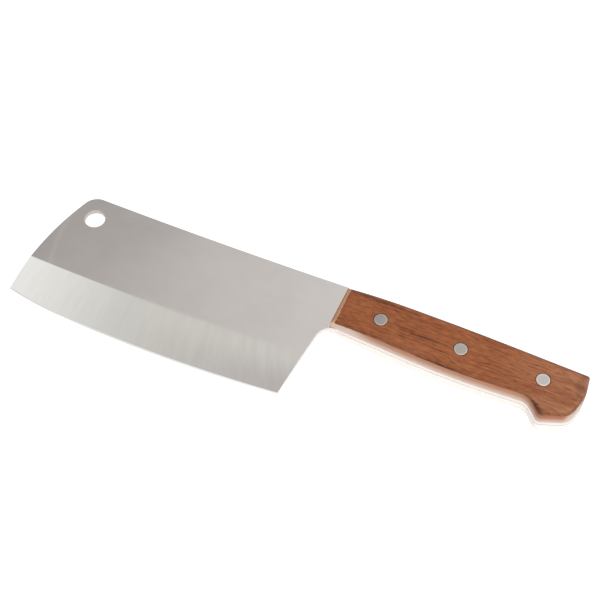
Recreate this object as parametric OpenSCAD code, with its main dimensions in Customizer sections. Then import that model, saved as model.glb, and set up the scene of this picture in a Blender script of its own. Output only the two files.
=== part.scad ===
// Kitchen cleaver: a ground blade with a full tang between two riveted hardwood scales.
// It lies with its left side up. +X runs from the blade to the butt of the handle, +Y from the
// cutting edge to the spine and +Z up. The origin is on the lower scale's face, under the
// middle of the whole outline.
//
// Inside the modules, x = 0 is the front of the handle, y = 0 the line of the rivets and
// z = 0 the middle of the steel.

/* [Blade] */
// Thickness of the steel, at the spine and through the tang
blade_t = 2.6; // [2:0.1:4]
// Distance from the front of the handle to the foremost point of the blade
blade_reach = 162.8; // [140:0.1:200]
// Height of the spine's lowest point above the rivet line
spine_low = 14.1; // [13.9:0.1:17]
// Distance of that lowest point from the front of the handle
spine_low_at = 114; // [80:1:120]
// Radius of the spine's slight hollow
spine_r = 3500; // [2500:100:9000]
// Radius of the bowed front of the blade
front_r = 155; // [110:1:400]
// Depth of the foremost point below the rivet line
front_depth = 44; // [20:1:48]
// Radius of the corner between the spine and the front
toe_corner_r = 8.5; // [4:0.5:20]
// Width of the gap between the heel's lower corner and the front of the handle
heel_gap = 8.3; // [4:0.1:20]
// Lean of the heel, in degrees
heel_lean = 6; // [0:0.5:10]
// Radius of the choil, between the heel and the underside of the handle
choil_r = 8.5; // [4:0.5:12]

/* [Cutting edge] */
// Depth of the lowest point of the edge below the rivet line
belly_depth = 61.6; // [50:0.1:90]
// Distance of that lowest point from the front of the handle
belly_at = 94; // [80:1:110]
// Radius of the belly
belly_r = 780; // [500:10:2000]
// Length of the toe's upward sweep, behind the foremost point
sweep_len = 32; // [10:0.5:45]
// Radius of the toe's upward sweep
sweep_r = 260; // [60:1:400]
// Width of the ground bevel, from the lowest point of the edge to the grind line
grind_w = 26.5; // [15:0.5:35]
// Radius of the grind line
grind_r = 1700; // [800:50:4000]
// Distance of the lowest point of the grind line from the front of the handle
grind_at = 123; // [90:1:140]
// Thickness of the steel behind the cutting edge
edge_back_t = 0.45; // [0.3:0.05:1]
// Width of the narrow second bevel at the cutting edge
edge_bevel_w = 0.8; // [0.4:0.1:1.5]
// Thickness of the cutting edge itself
edge_t = 0.06; // [0.04:0.01:0.2]

/* [Hanging hole] */
// Diameter of the hanging hole
hang_d = 11; // [6:0.5:14]
// Distance of the hole's centre behind the foremost point of the blade
hang_back = 19.3; // [14:0.1:30]
// Depth of the hole's centre below the spine
hang_drop = 13.4; // [12:0.2:25]

/* [Handle] */
// Thickness of each scale over most of its length
scale_t = 7.2; // [5.5:0.1:10]
// Loss of thickness at the front of each scale
front_thin = 2.4; // [0:0.1:2.6]
// Length over which the front of each scale thins
thin_len = 35; // [20:1:42]
// Radius of the rounded outer edges of the scales
edge_r = 2.8; // [1:0.1:3]
// Length of the handle, to the corner that the butt is rounded from
handle_len = 131.9; // [123:0.1:150]
// Height of the back above the rivet line, at the front
back_front = 13.5; // [12.5:0.1:13.6]
// Height of the back above the middle rivet
back_mid = 13.8; // [12.5:0.1:14.3]
// Height of the back at the butt
back_rear = 12.5; // [11.4:0.1:13.5]
// Depth of the underside below the rivet line, at the front
under_front = 10.4; // [9:0.1:12]
// Depth of the underside under the middle rivet
under_mid = 14.1; // [13:0.1:14.8]
// Depth of the neck, where the underside turns down to the hook
under_neck = 11.6; // [10.2:0.1:12.5]
// Distance of the neck from the butt
neck_back = 26; // [24:0.5:32]
// Depth of the hook
hook_depth = 19.8; // [17:0.1:23]
// Distance of the hook from the butt
hook_back = 18.2; // [17:0.1:21]
// Depth of the lower corner of the butt
butt_depth = 14; // [12:0.5:15]
// Lean of the butt's upper and lower corners, in from its middle
butt_lean = 0.8; // [0.2:0.1:1.6]

/* [Rivets] */
// Diameter of the rivet heads
head_d = 7; // [6:0.1:9]
// Thickness of the rivet heads
head_t = 2.4; // [1.5:0.1:3]
// Outer diameter of the tubular rivet half
tube_d = 4.8; // [4.2:0.1:5.5]
// Diameter of the solid shank that is driven into the tube
shank_d = 3.2; // [2:0.1:3.6]
// Distance from the front of the handle to the first rivet
rivet_front = 23.6; // [18:0.2:30]
// Distance from the last rivet to the butt
rivet_rear = 22.3; // [19:0.1:30]
// Distance from a tube's mouth to the head of the other half
tube_short = 1; // [0.5:0.1:2]

/* [Fits] */
// Radial clearance between a rivet and its hole
hole_gap = 0.05; // [0.02:0.01:0.15]
// Radial clearance between a rivet's shank and tube
shank_gap = 0.02; // [0.01:0.01:0.05]

/* [Hidden] */
$fn = 96;
steel_colour = [0.74, 0.74, 0.73];
wood_colour = [0.62, 0.37, 0.25];
rivet_colour = [0.68, 0.68, 0.67];
// Radii of the handle's outline
shoulder_r = 0.5;
back_r = 1500;
butt_top_r = 4;
butt_mid_r = 30;
butt_low_r = 9;
hook_r = 3.2;
neck_r = 8;
grip_r = 400;
// Depth of the butt's rearmost point below the rivet line
butt_mid_depth = 1;
// The lower corner of the butt leans in this many times as far as the upper one
lean_low = 4.4;
// Turn of a rounded corner between two of its points, in degrees
arc_step = 7;
// Number of stretches along the spine, the bowed front, the corner between them, the ground
// bevel and a thinned front of the handle, and round an edge of the handle
spine_steps = 12;
front_steps = 40;
corner_steps = 12;
bevel_steps = 56;
thin_steps = 7;
round_steps = 5;
// How far a cutting tool runs past what it cuts
past = 4;
half_t = blade_t / 2;
rest_h = half_t + scale_t;

rivet_x = [for (i = [0:2]) rivet_front + i * (handle_len - rivet_rear - rivet_front) / 2];

function unit(v) = v / norm(v);
function turned_left(v) = [-v.y, v.x];
function on_circle(centre, r, angle) = centre + r * [cos(angle), sin(angle)];

// The points that round corner b, between a and c. A radius of 0 keeps the corner.
function rounded(a, b, c, r) =
    let (u = unit(a - b), w = unit(c - b), half = acos(u * w) / 2)
    r == 0 ? [b] :
    let (centre = b + unit(u + w) * r / sin(half),
         first = b + u * r / tan(half) - centre,
         start = atan2(first.y, first.x),
         turn = (180 - 2 * half) * sign(u.x * w.y - u.y * w.x) * -1,
         n = max(2, ceil(abs(turn) / arc_step)))
    [for (k = [0:n]) on_circle(centre, r, start + turn * k / n)];

// A path through corners given as [x, y, radius], with its two ends left as they are
function rounded_path(c) =
    [for (i = [1:len(c) - 2], p = rounded(point(c[i - 1]), point(c[i]), point(c[i + 1]), c[i][2])) p];
function point(c) = [c[0], c[1]];

// The point at distances ra from a and rb from b, to the right of the way from a to b
function circles_meet(a, ra, b, rb) =
    let (d = norm(b - a),
         u = unit(b - a),
         run = (d * d + ra * ra - rb * rb) / (2 * d))
    a + u * run - turned_left(u) * sqrt(ra * ra - run * run);

// Height of the line through a and b at x
function along(a, b, x) = a.y + (b.y - a.y) * (x - a.x) / (b.x - a.x);

// The corners of the handle's outline, along the back, round the butt and along the underside
back_start = [0, back_front];
back_corner = [rivet_x[1], back_mid];
under_corner = [rivet_x[1], -under_mid];
under_start = [0, -under_front];
butt_corners = [
    [rivet_x[1], back_mid, back_r],
    [handle_len - butt_lean, back_rear, butt_top_r],
    [handle_len, -butt_mid_depth, butt_mid_r],
    [handle_len - lean_low * butt_lean, -butt_depth, butt_low_r],
    [handle_len - hook_back, -hook_depth, hook_r],
    [handle_len - neck_back, -under_neck, neck_r],
    [rivet_x[1], -under_mid, grip_r],
];
butt_path = rounded_path(concat([back_start], butt_corners, [under_start]));

// Depth of the cutting edge and of the grind line
sweep_x = sweep_len - blade_reach;
function edge_y(x) = -belly_depth + pow(x + belly_at, 2) / (2 * belly_r)
    + pow(max(0, sweep_x - x), 2) / (2 * sweep_r);
function grind_y(x) = -belly_depth + grind_w + pow(x + grind_at, 2) / (2 * grind_r);

// The bowed front, the rounded toe corner, the hollow spine and its shoulder at the handle
spine_centre = [-spine_low_at, spine_low + spine_r];
function spine_y(x) = spine_centre.y - sqrt(pow(spine_r, 2) - pow(x - spine_centre.x, 2));
spine_h = spine_y(0);
front_centre = [front_r - blade_reach, -front_depth];
corner_centre = circles_meet(spine_centre, spine_r + toe_corner_r, front_centre, front_r - toe_corner_r);
corner_low = corner_centre - front_centre;
corner_high = spine_centre - corner_centre;
corner_low_angle = atan2(corner_low.y, corner_low.x);
corner_top_angle = atan2(corner_high.y, corner_high.x);
low_y = -belly_depth - past;
front_low_angle = -180 + asin((-front_depth - low_y) / front_r);
front_turn = corner_low_angle - 360 - front_low_angle;
corner_turn = corner_top_angle - corner_low_angle;
spine_x = [for (k = [1:spine_steps - 1]) corner_centre.x * (1 - k / spine_steps)];
front_path = concat(
    [for (k = [0:front_steps]) on_circle(front_centre, front_r, front_low_angle + front_turn * k / front_steps)],
    [for (k = [1:corner_steps])
        on_circle(corner_centre, toe_corner_r, corner_low_angle + corner_turn * k / corner_steps)],
    [for (x = spine_x) [x, spine_y(x)]],
    rounded([max(spine_x), spine_y(max(spine_x))], [0, spine_h], back_start, shoulder_r));

// The heel and the choil
heel_dir = [sin(heel_lean), cos(heel_lean)];
heel_low = [-heel_gap + (low_y - edge_y(-heel_gap)) * tan(heel_lean), low_y];
under_slope = (under_front - under_mid) / rivet_x[1];
choil_x = (heel_low.x + (-under_front - low_y) * tan(heel_lean)) / (1 - under_slope * tan(heel_lean));
choil_corner = [choil_x, -under_front + under_slope * choil_x];
choil_path = rounded(under_corner, choil_corner, heel_low, choil_r);

steel_outline = concat([back_start], butt_path, choil_path, [heel_low], front_path);

// Places along the blade where the ground section is drawn
ground_x = concat([for (k = [0:bevel_steps]) -blade_reach - past + (blade_reach + past) * k / bevel_steps],
    [handle_len + past]);
// One section across the ground steel, from the cutting edge up the left side and down the right
function ground_section(x) = [
    [x, edge_y(x), edge_t / 2],
    [x, edge_y(x) + edge_bevel_w, edge_back_t / 2],
    [x, grind_y(x), half_t],
    [x, spine_h + past, half_t],
    [x, spine_h + past, -half_t],
    [x, grind_y(x), -half_t],
    [x, edge_y(x) + edge_bevel_w, -edge_back_t / 2],
    [x, edge_y(x), -edge_t / 2],
];

// Middle of the whole outline
whole_x = [for (p = steel_outline) p.x];
whole_y = concat([for (p = steel_outline) if (p.y > -belly_depth) p.y],
    [for (x = ground_x) if (x > -blade_reach && x < -heel_gap) edge_y(x)]);
middle = [(min(whole_x) + max(whole_x)) / 2, (min(whole_y) + max(whole_y)) / 2];

// Height of a scale's outer face over the middle of the steel, and its slope
function face_z(x) = rest_h - front_thin * pow(max(0, 1 - x / thin_len), 2);
function face_slope(x) = 2 * front_thin / thin_len * max(0, 1 - x / thin_len);

// The scale's outline, clockwise from its upper front corner
thin_x = [for (k = [0:thin_steps - 1]) thin_len * k / thin_steps];
scale_outline = concat(
    [for (x = thin_x) [x, along(back_start, back_corner, x)]],
    [[thin_len, along(back_start, back_corner, thin_len)]],
    butt_path,
    [[thin_len, along(under_start, under_corner, thin_len)]],
    [for (k = [thin_steps - 1:-1:0]) [thin_x[k], along(under_start, under_corner, thin_x[k])]]);
scale_n = len(scale_outline);

// The way that each outline point moves when the outline is drawn in by one millimetre
function drawn_in(o, i) =
    let (n = len(o),
         before = turned_left(unit(o[i] - o[(i + n - 1) % n])),
         after = turned_left(unit(o[(i + 1) % n] - o[i])),
         mean = unit(before + after))
    -mean / (mean * after);
scale_in = [for (i = [0:scale_n - 1]) drawn_in(scale_outline, i)];

// One ring of a scale, drawn in by d and lying s below the outer face
function scale_ring(d, s) = [for (i = [0:scale_n - 1])
    let (p = scale_outline[i] + scale_in[i] * d)
    [p.x, p.y, face_z(scale_outline[i].x) - s]];
round_angles = [for (k = [0:round_steps]) 90 * k / round_steps];
scale_rings = concat(
    [[for (p = scale_outline) [p.x, p.y, half_t]]],
    [for (a = round_angles) scale_ring(edge_r * (1 - cos(a)), edge_r * (1 - sin(a)))]);

// Triangles round a closed stack of rings, between ring k and ring k + 1 of n points each
function band(k, n) = [for (i = [0:n - 1], f = [
    [k * n + i, (k + 1) * n + (i + 1) % n, (k + 1) * n + i],
    [k * n + i, k * n + (i + 1) % n, (k + 1) * n + (i + 1) % n]]) f];

// A scale without its holes. Its inner face and the level part of its outer face are fans about
// two hubs, which lie over the hook.
module scale_blank() {
    n = scale_n;
    top = (len(scale_rings) - 1) * n;
    hub_in = top + n;
    hub_out = hub_in + 1;
    hub_x = handle_len - hook_back;
    polyhedron(
        points = concat([for (ring = scale_rings, p = ring) p], [[hub_x, 0, half_t], [hub_x, 0, rest_h]]),
        faces = concat(
            [for (i = [0:n - 1]) [hub_in, (i + 1) % n, i]],
            [for (k = [0:len(scale_rings) - 2], f = band(k, n)) f],
            [for (i = [0:thin_steps - 1], f = [
                [top + i, top + i + 1, top + n - 1 - i],
                [top + i + 1, top + n - 2 - i, top + n - 1 - i]]) f],
            [for (i = [thin_steps:n - 2 - thin_steps]) [hub_out, top + i, top + i + 1]],
            [[hub_out, top + n - 1 - thin_steps, top + thin_steps]]));
}

// A scale lying over the steel, with a stepped hole for each rivet
module scale_on_tang() {
    difference() {
        scale_blank();
        for (x = rivet_x) {
            translate([x, 0, 0])
                cylinder(d = tube_d + 2 * hole_gap, h = rest_h + past);
            translate([x, 0, face_z(x) - head_t])
                cylinder(d = head_d + 2 * hole_gap, h = head_t + past);
        }
    }
}

module ground_slab() {
    n = len(ground_section(0));
    last = (len(ground_x) - 1) * n;
    polyhedron(
        points = [for (x = ground_x, p = ground_section(x)) p],
        faces = concat(
            [[for (i = [n - 1:-1:0]) i]],
            [for (k = [0:len(ground_x) - 2], f = band(k, n)) f],
            [[for (i = [0:n - 1]) last + i]]));
}

// The head of a rivet half with its face ground flush with the scale, and what children it carries
module rivet_half(x) {
    reach = rest_h + past;
    translate([x, 0, 0])
        intersection() {
            union() {
                translate([0, 0, face_z(x) - head_t])
                    cylinder(d = head_d, h = head_t + past);
                children();
            }
            translate([0, 0, face_z(x)])
                rotate([0, -atan(face_slope(x)), 0])
                    translate([-head_d, -head_d, -2 * reach])
                        cube([2 * head_d, 2 * head_d, 2 * reach]);
        }
}

module rivet_stud(x) {
    foot = -face_z(x) + head_t + tube_short;
    rivet_half(x)
        translate([0, 0, foot])
            cylinder(d = shank_d, h = face_z(x) - head_t / 2 - foot);
}

module rivet_socket(x) {
    mouth = -face_z(x) + head_t + tube_short;
    mirror([0, 0, 1])
        difference() {
            rivet_half(x)
                translate([0, 0, mouth])
                    cylinder(d = tube_d, h = face_z(x) - head_t / 2 - mouth);
            translate([x, 0, mouth - past])
                cylinder(d = shank_d + 2 * shank_gap, h = face_z(x) - head_t + past - mouth);
        }
}

// A node in its own shade, moved to the origin under the middle of the outline
module placed(shade) {
    color(shade)
        translate([-middle.x, -middle.y, rest_h])
            children();
}

module blade() {
    hang_x = hang_back - blade_reach;
    placed(steel_colour)
        difference() {
            intersection() {
                translate([0, 0, -blade_t])
                    linear_extrude(2 * blade_t)
                        polygon(steel_outline);
                ground_slab();
            }
            translate([hang_x, spine_y(hang_x) - hang_drop, -blade_t])
                cylinder(d = hang_d, h = 2 * blade_t);
            for (x = rivet_x)
                translate([x, 0, -blade_t])
                    cylinder(d = tube_d + 2 * hole_gap, h = 2 * blade_t);
        }
}

module left_scale() {
    placed(wood_colour)
        scale_on_tang();
}

module right_scale() {
    placed(wood_colour)
        mirror([0, 0, 1])
            scale_on_tang();
}

module front_rivet_stud() {
    placed(rivet_colour)
        rivet_stud(rivet_x[0]);
}

module middle_rivet_stud() {
    placed(rivet_colour)
        rivet_stud(rivet_x[1]);
}

module rear_rivet_stud() {
    placed(rivet_colour)
        rivet_stud(rivet_x[2]);
}

module front_rivet_socket() {
    placed(rivet_colour)
        rivet_socket(rivet_x[0]);
}

module middle_rivet_socket() {
    placed(rivet_colour)
        rivet_socket(rivet_x[1]);
}

module rear_rivet_socket() {
    placed(rivet_colour)
        rivet_socket(rivet_x[2]);
}

blade();
left_scale();
right_scale();
front_rivet_stud();
middle_rivet_stud();
rear_rivet_stud();
front_rivet_socket();
middle_rivet_socket();
rear_rivet_socket();
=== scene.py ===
"""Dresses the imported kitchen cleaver: ground steel, hardwood scales and cutler's rivets.

The cleaver lies with its left side up. Shapes are worked out in millimetres from the cleaver's own
datum (the front of the handle, the line of the rivets and the middle of the steel) and are put into
the shared frame, in metres, when a mesh is made.
"""
import logging
import math
from collections.abc import Iterable, Sequence
from dataclasses import dataclass, field
from enum import Enum
from itertools import pairwise
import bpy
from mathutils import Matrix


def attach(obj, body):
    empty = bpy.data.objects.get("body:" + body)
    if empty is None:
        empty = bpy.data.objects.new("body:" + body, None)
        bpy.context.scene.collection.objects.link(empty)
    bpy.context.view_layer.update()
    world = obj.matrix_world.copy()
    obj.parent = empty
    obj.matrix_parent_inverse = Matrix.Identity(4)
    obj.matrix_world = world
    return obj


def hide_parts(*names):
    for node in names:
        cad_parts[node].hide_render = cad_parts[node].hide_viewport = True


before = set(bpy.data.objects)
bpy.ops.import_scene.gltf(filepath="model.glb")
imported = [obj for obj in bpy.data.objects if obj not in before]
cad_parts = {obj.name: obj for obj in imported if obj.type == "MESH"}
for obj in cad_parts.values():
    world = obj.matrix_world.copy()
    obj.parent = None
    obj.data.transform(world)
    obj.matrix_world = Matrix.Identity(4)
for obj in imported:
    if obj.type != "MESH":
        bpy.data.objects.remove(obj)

from types import SimpleNamespace

import bpy
import numpy as np
from mathutils import Matrix, Vector, noise
from mathutils.geometry import delaunay_2d_cdt

log = logging.getLogger("cleaver")
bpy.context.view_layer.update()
BODY = "root"
MM = 0.001
WHITE = (1.0, 1.0, 1.0, 1.0)
NUMBER, COUNT, WAY = "NodeSocketFloat", "NodeSocketInt", "NodeSocketVector"
GEOMETRY, MATERIAL = "NodeSocketGeometry", "NodeSocketMaterial"
GEOMETRY_TREE, SHADER_TREE = "GeometryNodeTree", "ShaderNodeTree"

Point = tuple[float, float]
Place = tuple[float, float, float]
Colour = tuple[float, float, float, float]


class Side(Enum):
    """Which side of the steel a piece lies on, as the sign of its height."""

    LEFT = 1.0
    RIGHT = -1.0


class Slot(Enum):
    """The record's material slots."""

    STEEL = "blade_steel"
    WOOD = "scale_wood"
    RIVET = "rivet_metal"


@dataclass(frozen=True)
class Datum:
    """Where the cleaver's own datum lies in the shared frame, in millimetres."""

    front_x: float = 15.5849
    rivet_y: float = 22.8289
    steel_z: float = 8.5

    @property
    def spot(self) -> Place:
        """Return the datum's place in the shared frame."""
        return self.front_x, self.rivet_y, self.steel_z

    def place(self, points: np.ndarray) -> np.ndarray:
        """Return points, given in millimetres from the datum, in metres of the shared frame."""
        return (points + np.array(self.spot)) * MM


DATUM = Datum()


def rounded_corner(before: Point, corner: Point, after: Point, radius: float,
                   step: float = 3.0) -> list[Point]:
    """Round one corner of a path.

    Args:
        before: The point that the path comes from.
        corner: The corner itself.
        after: The point that the path goes to.
        radius: Radius of the rounding.
        step: Turn between two points of the rounding, in degrees.

    Returns:
        The points of the arc, in the path's order.
    """
    b = Vector(corner)
    u = (Vector(before) - b).normalized()
    w = (Vector(after) - b).normalized()
    half = u.angle(w) / 2
    centre = b + (u + w).normalized() * radius / math.sin(half)
    first = b + u * radius / math.tan(half) - centre
    turn = (math.pi - 2 * half) * (1 if u.x * w.y - u.y * w.x < 0 else -1)
    count = max(3, math.ceil(abs(math.degrees(turn)) / step))
    return [tuple(centre + Matrix.Rotation(turn * k / count, 2) @ first) for k in range(count + 1)]


def arc(centre: Point, radius: float, start: float, end: float, count: int) -> list[Point]:
    """Return count + 1 points of an arc between two angles in radians."""
    return [(centre[0] + radius * math.cos(a), centre[1] + radius * math.sin(a))
            for a in np.linspace(start, end, count + 1)]


def circle(centre: Point, radius: float, count: int) -> np.ndarray:
    """Return the points of a circle, counter-clockwise."""
    return np.array(arc(centre, radius, 0.0, 2 * math.pi, count)[:-1])


def spaced(path: Sequence[Point], longest: float) -> np.ndarray:
    """Divide the stretches of a closed path that are longer than asked for.

    Args:
        path: The corners of the path.
        longest: The longest stretch to leave.

    Returns:
        The corners with the new points between them.
    """
    out: list[np.ndarray] = []
    corners = np.array(path)
    for a, b in zip(corners, np.roll(corners, -1, axis=0)):
        parts = max(1, math.ceil(float(np.hypot(*(b - a))) / longest))
        out.extend(a + (b - a) * k / parts for k in range(parts))
    return np.array(out)


def counter_clockwise(loop: np.ndarray) -> np.ndarray:
    """Put a loop in counter-clockwise order and leave out points that repeat.

    Args:
        loop: The loop's points.

    Returns:
        The points that are left, in order.
    """
    gap = np.hypot(*(loop - np.roll(loop, 1, axis=0)).T)
    loop = loop[gap > 1e-4]
    x, y = loop.T
    area = float(np.dot(x, np.roll(y, -1)) - np.dot(y, np.roll(x, -1)))
    return loop if area > 0 else loop[::-1]


def drawn_in(loop: np.ndarray, depth: float, nearest: float = 0.06) -> np.ndarray:
    """Draw a counter-clockwise loop in towards its inside.

    Args:
        loop: The loop's points.
        depth: How far to draw it in.
        nearest: Points closer together than this are left out.

    Returns:
        The points of the smaller loop.
    """
    way = np.roll(loop, -1, axis=0) - loop
    way = way / np.hypot(*way.T)[:, None]
    after = np.stack([-way[:, 1], way[:, 0]], axis=1)
    mean = np.roll(after, 1, axis=0) + after
    mean = mean / np.hypot(*mean.T)[:, None]
    moved = loop + mean * depth / (mean * after).sum(axis=1)[:, None]
    kept = [moved[0]]
    for point in moved[1:]:
        if np.hypot(*(point - kept[-1])) > nearest and np.hypot(*(point - kept[0])) > nearest:
            kept.append(point)
    return np.array(kept)


def distance_to(points: np.ndarray, loops: Iterable[np.ndarray], batch: int = 800) -> np.ndarray:
    """Measure how far points lie from the nearest of some closed loops.

    Args:
        points: The points to measure from.
        loops: The loops to measure to.
        batch: How many points are measured at once.

    Returns:
        One distance for each point.
    """
    nearest = np.full(len(points), np.inf)
    for loop in loops:
        way = np.roll(loop, -1, axis=0) - loop
        length = (way ** 2).sum(axis=1)
        for first in range(0, len(points), batch):
            part = points[first:first + batch, None, :]
            along = np.clip(((part - loop) * way).sum(axis=2) / length, 0.0, 1.0)
            gap = part - (loop + along[..., None] * way)
            found = np.sqrt((gap ** 2).sum(axis=2).min(axis=1))
            nearest[first:first + batch] = np.minimum(nearest[first:first + batch], found)
    return nearest


def spot_key(point: np.ndarray) -> Point:
    """Return a point rounded off, so that the same spot in two sheets gives the same key."""
    return tuple(np.round(point, 4))


def is_inside(points: np.ndarray, loop: np.ndarray) -> np.ndarray:
    """Find the points that lie inside a closed loop.

    Args:
        points: The points to try.
        loop: The loop's points.

    Returns:
        For each point, whether it lies inside.
    """
    x, y = points[:, :1], points[:, 1:]
    (x0, y0), (x1, y1) = loop.T, np.roll(loop, -1, axis=0).T
    rise = np.where(y1 == y0, 1.0, y1 - y0)
    crossed = ((y0 > y) != (y1 > y)) & (x < x0 + (y - y0) * (x1 - x0) / rise)
    return crossed.sum(axis=1) % 2 == 1


@dataclass
class Sheet:
    """A flat sheet of triangles with an outline and holes."""

    points: np.ndarray
    triangles: np.ndarray

    @classmethod
    def cut(cls, outline: np.ndarray, holes: Sequence[np.ndarray], rings: Sequence[np.ndarray],
            lines: Sequence[np.ndarray], spacing: float) -> "Sheet":
        """Triangulate a sheet, keeping every given line as edges of its triangles.

        Args:
            outline: The sheet's outline, counter-clockwise.
            holes: The outlines of its holes.
            rings: Closed lines that the triangles keep.
            lines: Open lines that the triangles keep. They may run past the outline.
            spacing: Distance between the points that fill the rest of the sheet.

        Returns:
            The sheet, with its triangles counter-clockwise.
        """
        edges: list[tuple[int, int]] = []
        start = 0
        for chain, closed in [(c, True) for c in (outline, *holes, *rings)] + [(c, False) for c in lines]:
            last = len(chain) if closed else len(chain) - 1
            edges.extend((start + k, start + (k + 1) % len(chain)) for k in range(last))
            start += len(chain)
        fixed = np.concatenate([outline, *holes, *rings, *lines])
        low, high = outline.min(axis=0), outline.max(axis=0)
        grid_x, grid_y = np.meshgrid(np.arange(low[0] + spacing / 3, high[0], spacing),
                                     np.arange(low[1] + spacing / 3, high[1], spacing))
        grid_x[1::2] += spacing / 2
        grid = np.stack([grid_x.ravel(), grid_y.ravel()], axis=1)
        grid = grid[cls._within(grid, outline, holes)]
        clear = np.array([np.hypot(*(fixed - p).T).min() > 0.5 * spacing for p in grid])
        everything = np.concatenate([fixed, grid[clear]])
        found, _, faces, *_ = delaunay_2d_cdt([Vector(p) for p in everything], edges, [], 0, 1e-6)
        verts = np.array([(v.x, v.y) for v in found])
        tris = np.array([f for f in faces if len(f) == 3])
        tris = tris[cls._within(verts[tris].mean(axis=1), outline, holes)]
        a, b, c = verts[tris].transpose(1, 0, 2)
        area = (b[:, 0] - a[:, 0]) * (c[:, 1] - a[:, 1]) - (b[:, 1] - a[:, 1]) * (c[:, 0] - a[:, 0])
        tris[area < 0] = tris[area < 0][:, ::-1]
        used, fresh = np.unique(tris, return_inverse=True)
        return cls(verts[used], fresh.reshape(tris.shape))

    @staticmethod
    def _within(points: np.ndarray, outline: np.ndarray, holes: Sequence[np.ndarray]) -> np.ndarray:
        """Say which points lie inside the outline and in none of the holes."""
        return is_inside(points, outline) & ~np.any([is_inside(points, hole) for hole in holes], axis=0)

    def rim(self) -> list[tuple[int, int]]:
        """Return the edges of the outline and holes, each in its triangle's direction."""
        seen = {(int(t[i]), int(t[(i + 1) % 3])) for t in self.triangles for i in range(3)}
        return [(a, b) for a, b in seen if (b, a) not in seen]


def new_object(name: str, data: bpy.types.ID) -> bpy.types.Object:
    """Link a new object to the scene.

    Args:
        name: The object's name.
        data: Its mesh, camera or light.

    Returns:
        The object.
    """
    made = bpy.data.objects.new(name, data)
    bpy.context.scene.collection.objects.link(made)
    return made


def plain_piece(name: str, points: np.ndarray, faces: Iterable[Sequence[int]],
                edges: Iterable[tuple[int, int]] = ()) -> bpy.types.Object:
    """Make an object from points in the shared frame.

    Args:
        name: The object's name.
        points: The mesh's points, in metres.
        faces: The mesh's faces, facing outwards.
        edges: Edges that belong to no face.

    Returns:
        The new object, linked to the scene.
    """
    mesh = bpy.data.meshes.new(name)
    mesh.from_pydata(points.tolist(), list(edges), [tuple(int(i) for i in f) for f in faces])
    mesh.validate()
    mesh.shade_smooth()
    return new_object(name, mesh)


def write_attribute(mesh: bpy.types.Mesh, name: str, values: np.ndarray) -> None:
    """Store one number for each point of a mesh."""
    mesh.attributes.new(name, "FLOAT", "POINT").data.foreach_set("value", values.astype(np.float32))


def enclosed_volume(mesh: bpy.types.Mesh) -> float:
    """Measure the volume that a mesh encloses.

    Args:
        mesh: A closed mesh.

    Returns:
        The volume, which is negative when the faces point inwards.
    """
    mesh.calc_loop_triangles()
    points = np.empty(len(mesh.vertices) * 3)
    mesh.vertices.foreach_get("co", points)
    corners = np.empty(len(mesh.loop_triangles) * 3, dtype=np.int32)
    mesh.loop_triangles.foreach_get("vertices", corners)
    a, b, c = points.reshape(-1, 3)[corners.reshape(-1, 3)].transpose(1, 0, 2)
    return float((a * np.cross(b, c)).sum() / 6)


@dataclass(frozen=True)
class Value:
    """What a socket of a node tree gives. Arithmetic on it adds the nodes that work the result out."""

    graph: "Graph"
    socket: bpy.types.NodeSocket

    def __add__(self, other: "Feed") -> "Value":
        """Return the sum of both."""
        return self.graph.math("ADD", self, other)

    def __sub__(self, other: "Feed") -> "Value":
        """Return this less the other."""
        return self.graph.math("SUBTRACT", self, other)

    def __rsub__(self, other: "Feed") -> "Value":
        """Return the other less this."""
        return self.graph.math("SUBTRACT", other, self)

    def __mul__(self, other: "Feed") -> "Value":
        """Return the product of both."""
        return self.graph.math("MULTIPLY", self, other)

    def __truediv__(self, other: "Feed") -> "Value":
        """Return this divided by the other."""
        return self.graph.math("DIVIDE", self, other)

    def __rtruediv__(self, other: "Feed") -> "Value":
        """Return the other divided by this."""
        return self.graph.math("DIVIDE", other, self)

    def __pow__(self, power: float) -> "Value":
        """Return this raised to a power."""
        return self.graph.math("POWER", self, power)

    def __abs__(self) -> "Value":
        """Return this without its sign."""
        return self.graph.math("ABSOLUTE", self)

    def at_least(self, floor: "Feed") -> "Value":
        """Return this, or the floor where that is higher."""
        return self.graph.math("MAXIMUM", self, floor)

    def ramp(self, low: "Feed", high: "Feed", to_low: "Feed" = 0.0, to_high: "Feed" = 1.0,
             smooth: bool = True) -> "Value":
        """Return this carried from one range to another and held between its ends.

        Args:
            low: Where the first range starts.
            high: Where the first range ends.
            to_low: What the start becomes.
            to_high: What the end becomes.
            smooth: Whether it eases in and out.

        Returns:
            The new value.
        """
        return self.graph.add("ShaderNodeMapRange", {0: self, 1: low, 2: high, 3: to_low, 4: to_high},
                              interpolation_type="SMOOTHSTEP" if smooth else "LINEAR")


Feed = Value | float | Sequence[float]
Feeds = dict[str | int, Feed]


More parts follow.
